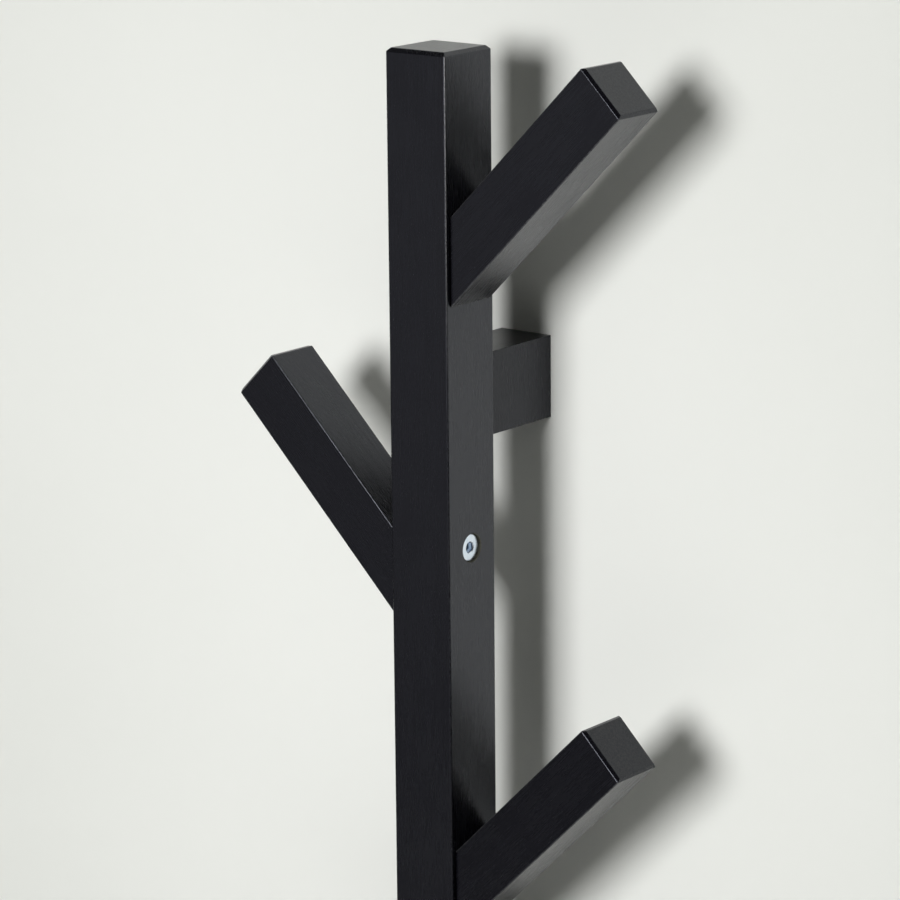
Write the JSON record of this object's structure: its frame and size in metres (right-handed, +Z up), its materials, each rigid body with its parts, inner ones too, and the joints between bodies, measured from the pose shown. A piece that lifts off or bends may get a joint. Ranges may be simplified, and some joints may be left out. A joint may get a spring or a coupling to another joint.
{
  "type": "standing coat rack",
  "caption": "Tall square wooden post with slanting pegs alternating right and left, on a low cross foot, tied to the wall by a block near its top.",
  "frame": {"origin": "on the floor under the post's axis, which is the middle of the bounding box's bottom", "axes": "+Z up along the post, +X along the wall towards the topmost peg, +Y towards the wall"},
  "size_m": [0.42, 0.169, 1.9],
  "materials": {
    "black_wood": "solid wood, satin black paint with faint grain",
    "zinc_steel": "bright zinc-plated steel",
    "beech": "raw fluted beech dowel",
    "glide_plastic": "dark grey moulded plastic"
  },
  "bodies": {
    "root": {"post": "black_wood", "peg_1_right": "black_wood", "peg_1_bolt": "zinc_steel", "peg_1_insert": "zinc_steel", "peg_1_dowel": "beech", "peg_2_left": "black_wood", "peg_2_bolt": "zinc_steel", "peg_2_insert": "zinc_steel", "peg_2_dowel": "beech", "peg_3_right": "black_wood", "peg_3_bolt": "zinc_steel", "peg_3_insert": "zinc_steel", "peg_3_dowel": "beech", "peg_4_left": "black_wood", "peg_4_bolt": "zinc_steel", "peg_4_insert": "zinc_steel", "peg_4_dowel": "beech", "peg_5_right": "black_wood", "peg_5_bolt": "zinc_steel", "peg_5_insert": "zinc_steel", "peg_5_dowel": "beech", "peg_6_left": "black_wood", "peg_6_bolt": "zinc_steel", "peg_6_insert": "zinc_steel", "peg_6_dowel": "beech", "wall_spacer": "black_wood", "keyhole_plate": "zinc_steel", "spacer_bolt": "zinc_steel", "spacer_insert": "zinc_steel", "spacer_dowel": "beech", "keyhole_screw_left": "zinc_steel", "keyhole_screw_right": "zinc_steel", "foot_long_bar": "black_wood", "foot_cross_bar": "black_wood", "foot_bolt": "zinc_steel", "foot_insert": "zinc_steel", "foot_dowel_front": "beech", "foot_dowel_back": "beech", "glide_left": "glide_plastic", "glide_right": "glide_plastic", "glide_front": "glide_plastic", "glide_back": "glide_plastic"}
  },
  "joints": []
}
